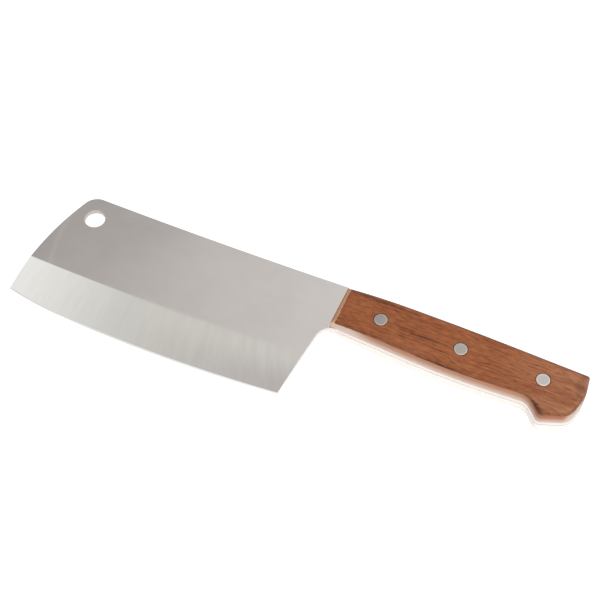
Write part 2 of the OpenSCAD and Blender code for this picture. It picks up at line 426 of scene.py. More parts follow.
@dataclass
class Graph:
    """Adds and joins nodes in one node tree."""

    tree: bpy.types.NodeTree

    def feed(self, socket: bpy.types.NodeSocket, value: Feed) -> None:
        """Link a socket to a value, or give it a constant.

        Args:
            socket: The input to feed.
            value: What it gets.
        """
        if isinstance(value, Value):
            self.tree.links.new(value.socket, socket)
        else:
            socket.default_value = value

    def node(self, kind: str, feeds: Feeds | None = None, **settings: object) -> bpy.types.Node:
        """Add a node.

        Args:
            kind: The node's type name.
            feeds: What each named or numbered input is fed.
            settings: The node's other properties.

        Returns:
            The new node.
        """
        node = self.tree.nodes.new(kind)
        for name, value in settings.items():
            setattr(node, name, value)
        for socket, value in (feeds or {}).items():
            self.feed(node.inputs[socket], value)
        return node

    def add(self, kind: str, feeds: Feeds | None = None, output: str | int = 0,
            **settings: object) -> Value:
        """Add a node and return one of its outputs."""
        return Value(self, self.node(kind, feeds, **settings).outputs[output])

    def math(self, operation: str, a: Feed, b: Feed = 0.0, c: Feed = 0.0) -> Value:
        """Return the result of one sum on up to three numbers."""
        return self.add("ShaderNodeMath", {0: a, 1: b, 2: c}, operation=operation)

    def vectors(self, operation: str, a: Feed, b: Feed = (0.0, 0.0, 0.0), scale: Feed = 1.0) -> Value:
        """Return the result of one sum on two vectors, or on a vector and a scale."""
        return self.add("ShaderNodeVectorMath", {0: a, 1: b, 3: scale}, operation=operation)

    def mix(self, factor: Feed, a: Feed, b: Feed) -> Value:
        """Return a number between two others."""
        return self.add("ShaderNodeMix", {0: factor, 2: a, 3: b}, data_type="FLOAT")

    def painted(self, colour: Feed, *coats: tuple[Feed, Feed]) -> Feed:
        """Lay coats over a colour.

        Args:
            colour: The colour to start from.
            coats: How much each coat covers, and its colour.

        Returns:
            The colour after the last coat.
        """
        for cover, coat in coats:
            colour = self.add("ShaderNodeMix", {0: cover, 6: colour, 7: coat}, 2, data_type="RGBA")
        return colour

    def length(self, x: Value, y: Value) -> Value:
        """Return the length of a flat vector."""
        return self.math("SQRT", x ** 2 + y ** 2)

    def vector(self, x: Feed, y: Feed, z: Feed) -> Value:
        """Return a vector made of three numbers."""
        return self.add("ShaderNodeCombineXYZ", {0: x, 1: y, 2: z})

    def split(self, vector: Feed) -> tuple[Value, ...]:
        """Return the three numbers of a vector."""
        return tuple(Value(self, part) for part in self.node("ShaderNodeSeparateXYZ", {0: vector}).outputs)

    def noise(self, vector: Feed, scale: Feed, detail: Feed = 2.0, roughness: Feed = 0.5) -> Value:
        """Return fractal noise between 0 and 1."""
        return self.add("ShaderNodeTexNoise", {"Vector": vector, "Scale": scale, "Detail": detail,
                                               "Roughness": roughness})


def titled(name: str) -> str:
    """Return the label of a socket that the scene's code knows by a plain name."""
    return name.replace("_", " ").title()


class Group(Graph):
    """A node group with named inputs and one output: a geometry, or a number for a shader."""

    def __init__(self, kind: str, name: str, output: str, **inputs: str | float) -> None:
        """Start a group.

        Args:
            kind: The kind of tree.
            name: The group's name.
            output: The output's label.
            inputs: Each input's default, or its socket type where it has none.
        """
        super().__init__(bpy.data.node_groups.new(name, kind))
        for label, default in inputs.items():
            socket = {float: NUMBER, int: COUNT}.get(type(default), default)
            made = self.tree.interface.new_socket(titled(label), in_out="INPUT", socket_type=socket)
            if socket != default:
                made.default_value = default
        socket = GEOMETRY if kind == GEOMETRY_TREE else NUMBER
        self.tree.interface.new_socket(output, in_out="OUTPUT", socket_type=socket)
        outputs = self.node("NodeGroupInput").outputs
        self.given = SimpleNamespace(**{label: Value(self, outputs[titled(label)]) for label in inputs})

    def put_out(self, result: Value) -> bpy.types.NodeTree:
        """Link the group's output, and return the finished tree."""
        self.node("NodeGroupOutput", {0: result})
        return self.tree

    def stored(self, name: str) -> Value:
        """Return a number that the geometry carries."""
        return self.add("GeometryNodeInputNamedAttribute", {"Name": name}, data_type="FLOAT")

    def store(self, geometry: Value, name: str, value: Value, kind: str = "FLOAT") -> Value:
        """Return the geometry with one more value on each of its points."""
        feeds = {"Geometry": geometry, "Name": name, "Value": value}
        return self.add("GeometryNodeStoreNamedAttribute", feeds, data_type=kind, domain="POINT")

    def moved(self, geometry: Value, position: Value) -> Value:
        """Return the geometry with its points in new places."""
        return self.add("GeometryNodeSetPosition", {"Geometry": geometry, "Position": position})

    def dressed(self, geometry: Value, material: Value) -> bpy.types.NodeTree:
        """Put out the geometry as one mesh in its material, and return the finished tree."""
        whole = self.add("GeometryNodeRealizeInstances", {"Geometry": geometry})
        return self.put_out(self.add("GeometryNodeSetMaterial", {"Geometry": whole, "Material": material}))


def dressed_by_tree(host: bpy.types.Object, tree: bpy.types.NodeTree, **values: object) -> None:
    """Run a geometry node tree on an object and keep the result as its plain mesh.

    Args:
        host: The object that gives the tree its geometry and takes the result.
        tree: The geometry node tree.
        values: A value for each named input of the tree.
    """
    modifier = host.modifiers.new(tree.name, "NODES")
    modifier.node_group = tree
    sockets = {s.name: s.identifier for s in tree.interface.items_tree if s.in_out == "INPUT"}
    for name, value in values.items():
        modifier[sockets[titled(name)]] = value
    graph = bpy.context.evaluated_depsgraph_get()
    result = bpy.data.meshes.new_from_object(host.evaluated_get(graph), preserve_all_data_layers=True,
                                             depsgraph=graph)
    host.modifiers.remove(modifier)
    rough = host.data
    host.data = result
    bpy.data.meshes.remove(rough)
    result.name = host.name


class Effects:
    """Shader node groups that more than one finish uses."""

    def __init__(self) -> None:
        """Build the groups: fine lines, soft marks of handling, and broken bands along an edge that are
        partly rubbing and partly painted highlight.
        """
        graph = Group(SHADER_TREE, "fine_lines", "Lines", place=WAY, across=3.0, along=0.05, detail=3.0,
                      contrast=1.0)
        given = graph.given
        stretch = graph.vector(given.along, given.across, given.across)
        grain = graph.noise(graph.vectors("MULTIPLY", given.place, stretch), 1.0, given.detail, 0.62)
        self.lines = graph.put_out((grain - 0.5) * given.contrast + 0.5)

        graph = Group(SHADER_TREE, "handling_marks", "Marks", place=WAY, size=20.0)
        scale = 1.0 / graph.given.size
        broad = graph.noise(graph.given.place, scale, 3.0, 0.55) - 0.5
        small = graph.noise(graph.given.place, scale * 5.3, 2.0, 0.5) - 0.5
        self.marks = graph.put_out(small * 0.35 + broad)

        graph = Group(SHADER_TREE, "edge_wear_and_highlight", "Wear", place=WAY, distance=0.0, reach=1.0, breaks=0.5)
        given = graph.given
        pull = (graph.noise(given.place, 0.45, 4.0, 0.6) - 0.5) * given.breaks
        self.wear = graph.put_out(given.distance.ramp(0.0, given.reach * (pull + 1.0), 1.0, 0.0))


@dataclass(frozen=True)
class Lines:
    """How many fine lines there are to a millimetre, across and along them, and how they look."""

    across: float
    along: float
    detail: float = 3.0
    contrast: float = 1.0


class Paint:
    """The nodes of one material, with the parts that every finish starts from."""

    def __init__(self, name: str, effects: Effects) -> None:
        """Start an empty material.

        Args:
            name: The material's name.
            effects: The shared groups.
        """
        self.material = bpy.data.materials.new(name)
        self.material.use_nodes = True
        self.material.node_tree.nodes.clear()
        self.effects = effects
        self.graph = Graph(self.material.node_tree)
        self.place = self.in_millimetres(self.graph.add("ShaderNodeTexCoord", output="Object"))
        self.x, self.y, self.z = self.graph.split(self.graph.vectors("SUBTRACT", self.place, DATUM.spot))

    def in_millimetres(self, vector: Value) -> Value:
        """Return a vector in millimetres that was in metres."""
        return self.graph.vectors("SCALE", vector, scale=1 / MM)

    def attribute(self, name: str, output: str = "Fac") -> Value:
        """Return a value that is stored on the mesh."""
        return self.graph.add("ShaderNodeAttribute", output=output, attribute_name=name)

    def facing(self) -> tuple[Value, ...]:
        """Return the three numbers of the surface's normal."""
        return self.graph.split(self.graph.add("ShaderNodeNewGeometry", output="Normal"))

    def group(self, tree: bpy.types.NodeTree, **feeds: Feed) -> Value:
        """Place one of the shared groups and return its result."""
        labelled = {titled(name): value for name, value in feeds.items()}
        return self.graph.add("ShaderNodeGroup", labelled, node_tree=tree)

    def lines(self, place: Value, lines: Lines) -> Value:
        """Return fine lines that run along the first number of a place."""
        return self.group(self.effects.lines, place=place, **vars(lines))

    def marks(self, size: float) -> Value:
        """Return soft marks of a size in millimetres, around 0."""
        return self.group(self.effects.marks, place=self.place, size=size)

    def wear(self, distance: Value, reach: float, breaks: float) -> Value:
        """Return a broken band at a distance from an edge, in millimetres: partly rubbed metal, partly
        painted highlight.
        """
        return self.group(self.effects.wear, place=self.place, distance=distance, reach=reach, breaks=breaks)

    def finished(self, colour: Feed, roughness: Feed, relief: Feed, depth: float,
                 constants: dict[str, float]) -> bpy.types.Material:
        """Join what was worked out to the material's shader.

        Args:
            colour: The base colour.
            roughness: The roughness.
            relief: The height of the surface, as a share of the depth.
            depth: Height of a full step of the relief, in millimetres.
            constants: The shader's inputs that are the same everywhere.

        Returns:
            The finished material.
        """
        bump = {"Height": relief, "Distance": depth * MM, "Strength": 1.0}
        normal = self.graph.add("ShaderNodeBump", bump)
        feeds = {"Base Color": colour, "Roughness": roughness, "Normal": normal}
        shader = self.graph.add("ShaderNodeBsdfPrincipled", feeds | constants)
        self.graph.node("ShaderNodeOutputMaterial", {"Surface": shader})
        return self.material


@dataclass(frozen=True)
class SteelFinish:
    """Satin flats, and a bevel ground across the blade. Colours run from the toe to the heel as painted
    reflection.

    The flats carry painted highlight: a bright, slightly bent band close to the toe, and a broad painted glow
    round glow_x.
    """

    hole_at: Point
    hole_r: float
    # The flat and bevel colours change from the toe to the heel as painted reflection.
    flat_toe: Colour = (0.505, 0.470, 0.450, 1.0)
    flat_heel: Colour = (0.640, 0.600, 0.575, 1.0)
    warm: Colour = (0.520, 0.475, 0.445, 1.0)
    bevel_toe: Colour = (0.975, 0.965, 0.925, 1.0)
    bevel_middle: Colour = (0.695, 0.680, 0.632, 1.0)
    bevel_heel: Colour = (0.628, 0.594, 0.558, 1.0)
    bevel_low: Colour = (0.392, 0.360, 0.341, 1.0)
    scratch: Colour = (0.40, 0.395, 0.385, 1.0)
    # Also the colour of the band along the rim, which is partly rubbed steel and partly painted highlight.
    edge: Colour = (0.92, 0.92, 0.91, 1.0)
    second: Colour = (0.86, 0.85, 0.83, 1.0)
    # A painted highlight on the steel just before the handle.
    near_wood: Colour = (0.74, 0.63, 0.55, 1.0)
    wall: Colour = (0.60, 0.545, 0.505, 1.0)
    steel_side: Colour = (0.76, 0.72, 0.69, 1.0)
    brush: Lines = Lines(5.0, 0.06)
    streaks: Lines = Lines(2.4, 0.055, 4.0, 1.5)
    fine: Lines = Lines(9.0, 0.11, 2.0, 1.2)
    broad: Lines = Lines(0.24, 0.03, 2.0, 1.6)
    mark_size: float = 34.0
    # Where the painted highlight band and the painted glow lie on the flats.
    toe_band_at: Point = (-156.6, -3.0)
    toe_band_bend: float = 0.006
    glow_x: float = -68.0
    relief_depth: float = 0.004

    def material(self, effects: Effects) -> bpy.types.Material:
        """Build the blade's material.

        Args:
            effects: The shared groups.

        Returns:
            The material.
        """
        paint = Paint("satin_ground_steel", effects)
        graph, x, y = paint.graph, paint.x, paint.y
        stored = ("ground", "second_bevel", "edge_depth", "edge_run")
        ground, second, depth, run = map(paint.attribute, stored)
        marks = paint.marks(self.mark_size)
        brush = paint.lines(paint.place, self.brush)
        off = graph.length(x - self.hole_at[0], y - self.hole_at[1])

        # Painted highlight: a bright bent band near the toe, painted shade past it towards the tip, and a
        # broad painted glow round glow_x. The marks and brush lines are the steel's own.
        from_band = x + (y - self.toe_band_at[1]) ** 2 * -self.toe_band_bend - self.toe_band_at[0]
        level = abs(from_band).ramp(0.0, 2.6, 0.08, 0.0) + 1.0 - from_band.ramp(-9.0, -1.0, 0.05, 0.0)
        level += abs(x - self.glow_x).ramp(48.0, 8.0, 0.0, 0.055) + marks * 0.16 + (brush - 0.5) * 0.10
        # The flats are painted lighter from the toe to the heel: painted reflection.
        flat = graph.painted(self.flat_toe, (x.ramp(-150.0, -15.0, smooth=False), self.flat_heel),
                             ((marks * 22.0 + off).ramp(6.0, 30.0, 0.7, 0.0), self.warm))
        flat = graph.vectors("SCALE", flat, scale=level)
        # Painted highlight: a light beige band on the steel just before the handle.
        flat = graph.painted(flat, (x.ramp(-1.9, -0.7, 0.0, 0.75), self.near_wood))

        toward_heel = x.ramp(-100.0, -5.0, smooth=False)
        across = graph.vector(depth, depth * (toward_heel * 0.26 + 0.12) + run, 0.0)
        streaks, fine, broad = (paint.lines(across, kind) for kind in (self.streaks, self.fine, self.broad))
        shown = (toward_heel * 0.13 + 0.09) * depth.ramp(23.0, 13.0, 0.4, 1.0)
        # The bevel's colours are painted reflection: bright at the toe, duller towards the heel, and darker
        # near the edge at the heel.
        bevel = graph.painted(
            self.bevel_toe,
            (x.ramp(-156.0, -100.0, smooth=False), self.bevel_middle),
            (toward_heel, self.bevel_heel),
            (toward_heel * depth.ramp(4.0, 23.0, 0.55, 0.0), self.bevel_low),
            (streaks.ramp(0.35, 0.9) * shown, self.scratch),
            (fine.ramp(0.55, 0.95) * 0.16, self.edge))
        bevel = graph.vectors("SCALE", bevel, scale=(broad - 0.5) * (toward_heel * 0.07 + 0.07) + 1.0)

        in_hole = off.ramp(self.hole_r + 0.02, self.hole_r + 0.25, 1.0, 0.0)
        on_side = abs(paint.facing()[2]).ramp(0.15, 0.4, 1.0, 0.0) * (1.0 - in_hole)
        colour = graph.painted(
            flat,
            (ground, bevel),
            (second, self.second),
            # The lighter band along the rounded rim is partly rubbed steel and partly painted highlight.
            (paint.wear(paint.attribute("rim"), 0.5, 1.2) * 0.30, self.edge),
            (in_hole, self.wall),
            (on_side, self.steel_side))
        rough = graph.mix(ground, marks * 0.10 + (brush * 0.05 + 0.29), streaks * 0.10 + 0.27)
        rough = graph.mix(in_hole.at_least(on_side), graph.mix(second, rough, 0.26), 0.6)
        relief = graph.mix(ground, brush * 0.35, streaks * 0.55 + fine * 0.35)
        return paint.finished(colour, rough, relief, self.relief_depth, {"Metallic": 1.0})


@dataclass(frozen=True)
class Streak:
    """A darker streak in the wood: its middle, half length, half width, turn in degrees and strength."""

    at: Point
    reach: float
    width: float
    turn: float
    strength: float
    side: Side = Side.LEFT

    def mask(self, paint: Paint, fibres: Value) -> Value:
        """Build the streak's mask, broken up by the fibres.

        Args:
            paint: The material's nodes.
            fibres: The lines that break it up.

        Returns:
            A mask between 0 and the streak's strength.
        """
        c, s = math.cos(math.radians(self.turn)), math.sin(math.radians(self.turn))
        dx, dy = paint.x - self.at[0], paint.y - self.at[1]
        along = dx * (c / self.reach) + dy * (s / self.reach)
        across = dy * (c / self.width) + dx * (-s / self.width)
        broken = (fibres - 0.5) * -1.6 + (along ** 2 + across ** 2)
        return broken.ramp(1.4, 0.1, 0.0, self.strength) * (paint.z * self.side.value).ramp(0.0, 1.0)


@dataclass(frozen=True)
class WoodFinish:
    """Oiled reddish hardwood: fine mottled fibres and short open pores, with painted light: sheen, glare and
    highlights on its flank and front end, shade on its rounded edges, and a paler face toward the butt.
    """

    light: Colour = (0.300, 0.092, 0.029, 1.0)
    middle: Colour = (0.195, 0.052, 0.014, 1.0)
    brown: Colour = (0.130, 0.032, 0.009, 1.0)
    dark: Colour = (0.058, 0.015, 0.006, 1.0)
    # Also used for the painted shade round each rivet head.
    pore: Colour = (0.033, 0.011, 0.006, 1.0)
    fleck: Colour = (0.390, 0.150, 0.066, 1.0)
    end_grain: Colour = (0.150, 0.068, 0.040, 1.0)
    # Paler wood: painted light toward the butt, and random pale blotches.
    bare: Colour = (0.42, 0.205, 0.115, 1.0)
    # A painted highlight on the rounded front end.
    front_end: Colour = (0.50, 0.27, 0.165, 1.0)
    # This colour and the next two are painted sheen and glare on the flank and underside.
    edge_band: Colour = (0.275, 0.132, 0.080, 1.0)
    underside: Colour = (0.41, 0.335, 0.285, 1.0)
    lower_side: Colour = (0.60, 0.56, 0.52, 1.0)
    bands: Lines = Lines(0.24, 0.014, 2.0, 1.9)
    mottle: Lines = Lines(1.2, 0.2, 3.0, 1.9)
    fibres: Lines = Lines(2.3, 0.12, 3.0, 2.0)
    mark_size: float = 26.0
    front_band: float = 2.9
    relief_depth: float = 0.08
    streaks: tuple[Streak, ...] = (
        Streak((47.5, -1.3), 13.0, 0.55, 1.5, 0.85),
        Streak((36.0, -0.2), 9.0, 0.5, -2.0, 0.35),
        Streak((59.0, -12.9), 14.0, 0.8, -1.0, 1.0),
        Streak((73.0, -13.2), 16.0, 1.1, 1.5, 0.45),
        Streak((22.0, -11.4), 14.0, 0.8, -3.0, 0.45),
        Streak((84.5, -4.5), 9.0, 0.5, -1.5, 0.35),
        Streak((66.0, -8.6), 2.2, 0.5, -1.0, 0.5),
        Streak((108.5, -13.8), 5.5, 1.2, -26.0, 0.7),
        Streak((113.2, -17.2), 4.2, 1.6, -40.0, 0.7),
        Streak((22.0, 10.4), 20.0, 0.9, -0.6, 0.55),
        Streak((31.0, 7.6), 12.0, 0.5, -1.0, 0.4),
        Streak((61.0, 12.4), 5.0, 0.7, 0.0, 0.5),
        Streak((93.0, 6.6), 18.0, 0.5, 0.5, 0.3),
        Streak((103.5, 4.6), 3.0, 0.5, 0.0, 0.5),
        Streak((128.5, 3.0), 3.5, 7.0, 5.0, 0.35),
        Streak((38.0, 4.0), 20.0, 0.7, -1.0, 0.6, Side.RIGHT),
        Streak((88.0, -6.0), 22.0, 0.8, 2.0, 0.6, Side.RIGHT),
        Streak((117.0, 3.0), 6.0, 1.8, 20.0, 0.5, Side.RIGHT),
    )

    def material(self, effects: Effects) -> bpy.types.Material:
        """Build the scales' material.

        Args:
            effects: The shared groups.

        Returns:
            The material.
        """
        paint = Paint("oiled_hardwood", effects)
        graph, x, y, z = paint.graph, paint.x, paint.y, paint.z
        sway = graph.noise(graph.vector(x, y * 0.4, z), 0.022) - 0.5
        grain = graph.vector(x, sway * 6.0 + y, z)
        bands, mottle, fibres = (paint.lines(grain, kind) for kind in (self.bands, self.mottle, self.fibres))
        marks = paint.marks(self.mark_size)
        # The face is painted paler toward the butt: painted light falling brighter there.
        toward_butt = x.ramp(82.0, 131.0, 0.0, 0.6, smooth=False)
        large, small = (self._pores(graph, grain, *size) for size in ((1.3, 0.22, 0.20), (2.4, 0.45, 0.17)))
        pitted = large.at_least(small * 0.7) * bands.ramp(0.35, 0.7, 0.35, 1.0)
        normal_x, normal_y, normal_z = paint.facing()
        uneven = marks * 0.5 + (mottle * -0.3 + 0.15)
        colour = graph.painted(
            self.light,
            (toward_butt, self.bare),
            (bands.ramp(0.25, 0.8, 0.15, 0.75), self.middle),
            (mottle.ramp(0.45, 0.95, 0.0, 0.75), self.brown),
            (mottle.ramp(0.5, 0.1, 0.0, 0.45), self.fleck),
            (fibres.ramp(0.52, 0.92, 0.0, 0.58), self.dark),
            *((streak.mask(paint, mottle), self.dark) for streak in self.streaks),
            # Random pale blotches, and more painted light toward the butt.
            (marks * 0.40 + toward_butt * 0.18, self.bare),
            (pitted * 0.6, self.pore),
            (abs(normal_x).ramp(0.4, 0.9, 0.0, 0.6), self.end_grain),
            # Painted shade: surfaces facing the spine side are painted darker brown.
            ((normal_y + uneven).ramp(0.15, 0.6, 0.0, 0.65), self.brown))

        flat = abs(normal_z)
        below = normal_y.ramp(-0.02, -0.2)
        # The flank and lower rounding face the front and the table; there the wood is painted with sheen and
        # glare.
        under = (uneven * -0.12 + flat).ramp(0.64, 0.51) * below
        # Painted sheen on the flank: less toward the hook, paler near the front, a painted highlight on faces
        # toward the butt, paler toward the table, and painted glare on the right scale's side.
        side = graph.painted(
            self.edge_band,
            (x.ramp(98.0, 114.0, 0.0, 0.5), self.middle),
            (x.ramp(24.0, 10.0, 0.0, 0.8), self.underside),
            (normal_x.ramp(0.40, 0.80, 0.0, 0.9), self.underside),
            (z.ramp(5.8, 1.4, smooth=False), self.underside),
            (z.ramp(0.8, -0.8), self.lower_side))
        face = under * -0.8 + 1.0
        from_front = (mottle - 0.5) * 1.2 + x
        from_line = abs(from_front - (self.front_band + 0.15))
        # Painted shade on the lower rounding, deeper where it turns further from the face.
        lower_round_shade = flat.ramp(0.998, 0.86, 0.0, 0.34) * below
        colour = graph.painted(
            graph.vectors("SCALE", colour, scale=1.0 - lower_round_shade),
            (under * 0.96, graph.vectors("SCALE", side, scale=(mottle - 0.5) * -0.16 + 1.0)),
            # A painted highlight on the rounded front end.
            (from_front.ramp(self.front_band, self.front_band - 0.7, 0.0, 0.8) * face, self.front_end),
            (from_line.ramp(0.1, 0.55, 0.28, 0.0) * face, self.dark),
            ((fibres * 0.8 + x).ramp(0.85, 1.25, 0.85, 0.0) * face, self.dark),
            # Painted shade in the gap round each rivet head.
            (paint.attribute("bore").ramp(0.0, 0.55, 0.85, 0.0), self.pore))
        rough = pitted * 0.2 + (marks * 0.18 + (fibres * 0.12 + 0.42))
        constants = {"IOR": 1.48, "Specular IOR Level": 0.26}
        return paint.finished(colour, rough, mottle * 0.3 - pitted, self.relief_depth, constants)

    @staticmethod
    def _pores(graph: Graph, grain: Value, across: float, along: float, size: float) -> Value:
        """Build short dark pores that lie along the grain.

        Args:
            graph: The material's graph.
            grain: Place in the grain, in millimetres.
            across: Pores to a millimetre across the grain.
            along: Pores to a millimetre along it.
            size: How far from its middle a pore reaches, as a share of its cell.

        Returns:
            A mask that is 1 in a pore.
        """
        place = graph.vectors("MULTIPLY", grain, (along, across, across))
        cells = graph.node("ShaderNodeTexVoronoi", {"Vector": place, "Scale": 1.0, "Randomness": 1.0})
        chance = graph.split(Value(graph, cells.outputs["Color"]))[0]
        reach = chance.ramp(0.35, 1.0) * size + 0.02
        return (Value(graph, cells.outputs["Distance"]) / reach).ramp(0.6, 1.3, 1.0, 0.0)


@dataclass(frozen=True)
class RivetFinish:
    """Rivet heads ground flush, each with its own direction of fine scratches."""

    head_r: float
    face: Colour = (0.47, 0.435, 0.415, 1.0)
    scratch: Colour = (0.36, 0.335, 0.325, 1.0)
    bright: Colour = (0.72, 0.685, 0.66, 1.0)
    # The lighter rim is partly rubbed metal and partly painted highlight.
    rim: Colour = (0.76, 0.665, 0.595, 1.0)
    scratches: Lines = Lines(7.0, 0.25, 3.0, 1.4)
    mark_size: float = 9.0
    relief_depth: float = 0.006

    def material(self, effects: Effects) -> bpy.types.Material:
        """Build the rivets' material.

        Args:
            effects: The shared groups.

        Returns:
            The material.
        """
        paint = Paint("flush_ground_rivet", effects)
        turned = paint.in_millimetres(paint.attribute("turned", "Vector"))
        scratches = paint.lines(turned, self.scratches)
        # The lighter rim is partly rubbed metal and partly painted highlight.
        rim_wear_and_highlight = paint.wear(self.head_r - paint.graph.length(*paint.graph.split(turned)[:2]), 1.0, 0.8)
        colour = paint.graph.painted(
            self.face,
            (scratches * 0.3, self.scratch),
            (paint.marks(self.mark_size) * 0.5 + 0.08, self.bright),
            (rim_wear_and_highlight * 0.85, self.rim))
        # Painted reflection: the heads are painted lighter toward the butt.
        level = paint.x.ramp(20.0, 70.0, 0.79, 0.88, smooth=False)
        level += paint.x.ramp(70.0, 106.0, 0.0, 0.27, smooth=False)
        colour = paint.graph.vectors("SCALE", colour, scale=level)
        rough = scratches * 0.14 + 0.27
        return paint.finished(colour, rough, scratches, self.relief_depth, {"Metallic": 1.0})


@dataclass(frozen=True)
class TableFinish:
    """A pale translucent table top, lit from below as well as from above."""

    glow: float = 0.97

    def material(self) -> bpy.types.Material:
        """Build the table's material.

        Returns:
            The material.
        """
        material = bpy.data.materials.new("pale_light_table")
        material.use_nodes = True
        shader = material.node_tree.nodes["Principled BSDF"]
        for name, value in {"Base Color": (0.3, 0.3, 0.3, 1.0), "Roughness": 0.6, "Emission Color": WHITE,
                            "Emission Strength": self.glow}.items():
            shader.inputs[name].default_value = value
        return material


@dataclass
class Grind:
    """The rule of the ground blade: its edge line, grind line and section, in millimetres.

    Each field is an input of the tree.
    """

    steel_thickness: float = 2.6
    belly_depth: float = 61.6
    belly_at: float = 94.0
    belly_radius: float = 780.0
    sweep_start: float = -130.8
    sweep_radius: float = 260.0
    grind_width: float = 26.5
    grind_at: float = 123.0
    grind_radius: float = 1700.0
    bevel_width: float = 0.8
    thickness_behind_edge: float = 0.45
    edge_thickness: float = 0.06
    edge_rounding: float = 0.28
    toe_softness: float = 0.008
    heel_softness: float = 0.06
    waviness: float = 0.035
    wave_length: float = 34.0
    wave_seed: float = 11.0

    def edge_y(self, x: float | np.ndarray) -> float | np.ndarray:
        """Work out the cutting edge, a wide arc that sweeps up at the toe.

        Args:
            x: Where along the blade.

        Returns:
            The height of the edge there.
        """
        belly = (x + self.belly_at) ** 2 / (2 * self.belly_radius)
        sweep = np.maximum(0.0, self.sweep_start - x) ** 2 / (2 * self.sweep_radius)
        return -self.belly_depth + belly + sweep

    def grind_y(self, x: float | np.ndarray) -> float | np.ndarray:
        """Return the height of the grind line at x."""
        return -self.belly_depth + self.grind_width + (x + self.grind_at) ** 2 / (2 * self.grind_radius)

    def tree(self) -> bpy.types.NodeTree:
        """Build the tree that grinds a flat blank to the section.

        The blank's points carry `face`, 1 on the left face and -1 on the right, and `rim`, their
        distance in millimetres from the nearest rounded edge.

        Returns:
            The geometry node tree.
        """
        graph = Group(GEOMETRY_TREE, "grind_blade", "Geometry", geometry=GEOMETRY, **vars(self),
                      steel=MATERIAL)
        size = graph.given
        position = graph.add("GeometryNodeInputPosition")
        plan = graph.vectors("SUBTRACT", position, (DATUM.front_x * MM, DATUM.rivet_y * MM, 0.0))
        plan = graph.vectors("SCALE", plan, scale=1 / MM)
        x, y, _ = graph.split(plan)

        past_toe = (size.sweep_start - x).at_least(0.0)
        from_belly = x + size.belly_at
        belly = from_belly ** 2 / (size.belly_radius * 2.0)
        edge = belly + past_toe ** 2 / (size.sweep_radius * 2.0) - size.belly_depth
        slope = from_belly / size.belly_radius - past_toe / size.sweep_radius
        line = (x + size.grind_at) ** 2 / (size.grind_radius * 2.0) + (size.grind_width - size.belly_depth)
        depth = y - edge
        width = line - edge

        half = size.steel_thickness * 0.5
        back = size.thickness_behind_edge * 0.5
        thin = size.edge_thickness * 0.5
        grind = (depth - size.bevel_width) / (width - size.bevel_width) * (half - back) + back
        bevel = depth / size.bevel_width * (back - thin) + thin
        toward_heel = x.ramp(-150.0, -10.0)
        softness = graph.mix(toward_heel, size.toe_softness, size.heel_softness)
        height = graph.math("MINIMUM", graph.math("SMOOTH_MIN", grind, half, softness), bevel)

        seeded = graph.vectors("ADD", plan, graph.vector(size.wave_seed, 0.0, 0.0))
        wave = graph.noise(seeded, 1.0 / size.wave_length, 1.0, 0.4) * depth.ramp(1.0, 8.0) * size.waviness
        height = height - wave * x.ramp(-14.0, -4.0, 1.0, 0.0)
        radius = size.edge_rounding * depth.ramp(0.8, 5.0)
        short = (radius - graph.stored("rim")).at_least(0.0)
        rounded = graph.math("SQRT", (radius ** 2 - short ** 2).at_least(0.0))
        height = (height - (radius - rounded)).at_least(thin)
        lift = height * graph.stored("face") * MM + DATUM.steel_z * MM
        plan_x, plan_y, _ = graph.split(position)
        shaped = graph.moved(size.geometry, graph.vector(plan_x, plan_y, lift))

        fade = graph.mix(toward_heel, 0.15, 2.2)
        masks = {
            "ground": (depth - width).ramp(fade * -1.0, fade, 1.0, 0.0),
            "second_bevel": depth.ramp(size.bevel_width, size.bevel_width + 0.05, 1.0, 0.0, smooth=False),
            "edge_depth": depth,
            "edge_run": slope * depth + x,
        }
        # The masks follow the plan alone, and the points have moved only in height.
        for name, value in masks.items():
            shaped = graph.store(shaped, name, value)
        return graph.dressed(shaped, size.steel)


@dataclass
class Handle:
    """The handle's plan, the height of its faces and the places of its rivets, in millimetres."""

    length: float = 131.9
    rivets: tuple[float, ...] = (23.6, 66.6, 109.6)
    back_front: float = 13.5
    back_middle: float = 13.8
    under_front: float = 10.4
    under_middle: float = 14.1
    tube_hole_r: float = 2.45
    face_z: float = 8.5
    front_thin: float = 2.4
    thin_len: float = 35.0
    head_t: float = 2.4

    def face_height(self, x: np.ndarray | float) -> np.ndarray | float:
        """Return the height of the outer face over the middle of the steel at x."""
        return self.face_z - self.front_thin * np.maximum(0.0, 1 - x / self.thin_len) ** 2

    def path(self) -> list[Point]:
        """Draw the outline of the handle, which the tang and both scales share.

        Returns:
            The points from the back's front end round the butt to the underside's front end.
        """
        middle, butt = self.rivets[1], self.length
        corners = [(0.0, self.back_front), (middle, self.back_middle), (butt - 1.5, 12.2), (butt, -1.0),
                   (butt - 3.52, -14.0), (butt - 18.2, -19.8), (butt - 26.0, -11.6),
                   (middle, -self.under_middle), (0.0, -self.under_front)]
        radii = (1500.0, 1.3, 30.0, 9.0, 3.2, 8.0, 400.0)
        path = [corners[0]]
        for k, radius in enumerate(radii, start=1):
            path += rounded_corner(*corners[k - 1:k + 2], radius)
        return path + [corners[-1]]


